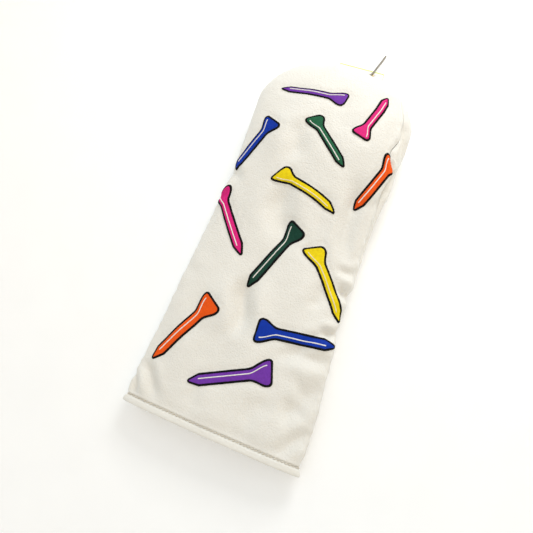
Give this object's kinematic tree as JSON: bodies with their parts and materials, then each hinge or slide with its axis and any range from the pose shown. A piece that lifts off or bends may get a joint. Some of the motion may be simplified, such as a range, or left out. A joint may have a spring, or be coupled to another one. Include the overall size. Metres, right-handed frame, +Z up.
{
  "type": "golf club headcover",
  "caption": "Soft closed sleeve of padded synthetic leather that slips over a golf club head, embroidered with coloured tees, with a small hang tag.",
  "frame": {"origin": "centre of the underside's bounding box, on the surface that the cover lies on, measured without the hang tag and its string", "axes": "+Y along the cover from the open hem to the closed crown; +Z up, out of the embroidered front face; +X across it, to the right with the crown away from the viewer"},
  "size_m": [0.145, 0.3537, 0.0438],
  "materials": {
    "shell_leather": "fine pebbled synthetic leather, satin, warm white",
    "hem_facing_leather": "the same synthetic leather, turned inside the hem",
    "stabiliser": "thin white nonwoven",
    "padding": "soft open wadding, matt",
    "plush_lining": "short soft plush pile, off-white",
    "elastic": "ribbed white woven elastic",
    "hem_thread": "twisted polyester thread, off-white",
    "seam_thread": "twisted polyester thread, off-white",
    "embroidery_purple": "satin-stitch rayon thread, purple, soft sheen",
    "embroidery_orange": "satin-stitch rayon thread, orange, soft sheen",
    "embroidery_blue": "satin-stitch rayon thread, royal blue, soft sheen",
    "embroidery_yellow": "satin-stitch rayon thread, yellow, soft sheen",
    "embroidery_dark_green": "satin-stitch rayon thread, dark green, soft sheen",
    "embroidery_pink": "satin-stitch rayon thread, pink, soft sheen",
    "embroidery_green": "satin-stitch rayon thread, mid green, soft sheen",
    "embroidery_black": "raised satin-stitch outline, black",
    "embroidery_white": "single white running line of thread",
    "tag_neon_card": "neon yellow card, matt",
    "tag_white_card": "plain white paper face, satin",
    "eyelet_brass": "small dull brass eyelet",
    "tag_string_cotton": "twisted grey-brown cotton string"
  },
  "bodies": {
    "cover": {"front_panel": "shell_leather", "back_panel": "shell_leather", "embroidery_stabiliser": "stabiliser", "front_padding": "padding", "back_padding": "padding", "front_lining": "plush_lining", "back_lining": "plush_lining", "neck_elastic": "elastic", "hem_facing": "hem_facing_leather", "hem_topstitch": "hem_thread", "perimeter_seam_thread": "seam_thread", "tee_purple_bottom_fill": "embroidery_purple", "tee_purple_bottom_outline": "embroidery_black", "tee_purple_bottom_highlight": "embroidery_white", "tee_orange_left_fill": "embroidery_orange", "tee_orange_left_outline": "embroidery_black", "tee_orange_left_highlight": "embroidery_white", "tee_blue_lower_fill": "embroidery_blue", "tee_blue_lower_outline": "embroidery_black", "tee_blue_lower_highlight": "embroidery_white", "tee_yellow_right_fill": "embroidery_yellow", "tee_yellow_right_outline": "embroidery_black", "tee_yellow_right_highlight": "embroidery_white", "tee_dark_green_fill": "embroidery_dark_green", "tee_dark_green_outline": "embroidery_black", "tee_dark_green_highlight": "embroidery_white", "tee_pink_left_fill": "embroidery_pink", "tee_pink_left_outline": "embroidery_black", "tee_pink_left_highlight": "embroidery_white", "tee_yellow_centre_fill": "embroidery_yellow", "tee_yellow_centre_outline": "embroidery_black", "tee_yellow_centre_highlight": "embroidery_white", "tee_orange_right_fill": "embroidery_orange", "tee_orange_right_outline": "embroidery_black", "tee_orange_right_highlight": "embroidery_white", "tee_green_upper_fill": "embroidery_green", "tee_green_upper_outline": "embroidery_black", "tee_green_upper_highlight": "embroidery_white", "tee_blue_left_fill": "embroidery_blue", "tee_blue_left_outline": "embroidery_black", "tee_blue_left_highlight": "embroidery_white", "tee_pink_upper_fill": "embroidery_pink", "tee_pink_upper_outline": "embroidery_black", "tee_pink_upper_highlight": "embroidery_white", "tee_purple_top_fill": "embroidery_purple", "tee_purple_top_outline": "embroidery_black", "tee_purple_top_highlight": "embroidery_white", "tag_string": "tag_string_cotton"},
    "tag": {"tag_card": "tag_neon_card", "tag_face": "tag_white_card", "tag_eyelet": "eyelet_brass"}
  },
  "joints": [
    {"name": "tag_swivel", "type": "hinge", "parent": "cover", "child": "tag", "pos_m": [0.0152, 0.1724, 0], "axis": [0, 0, 1], "range_deg": [-75, 30]}
  ]
}
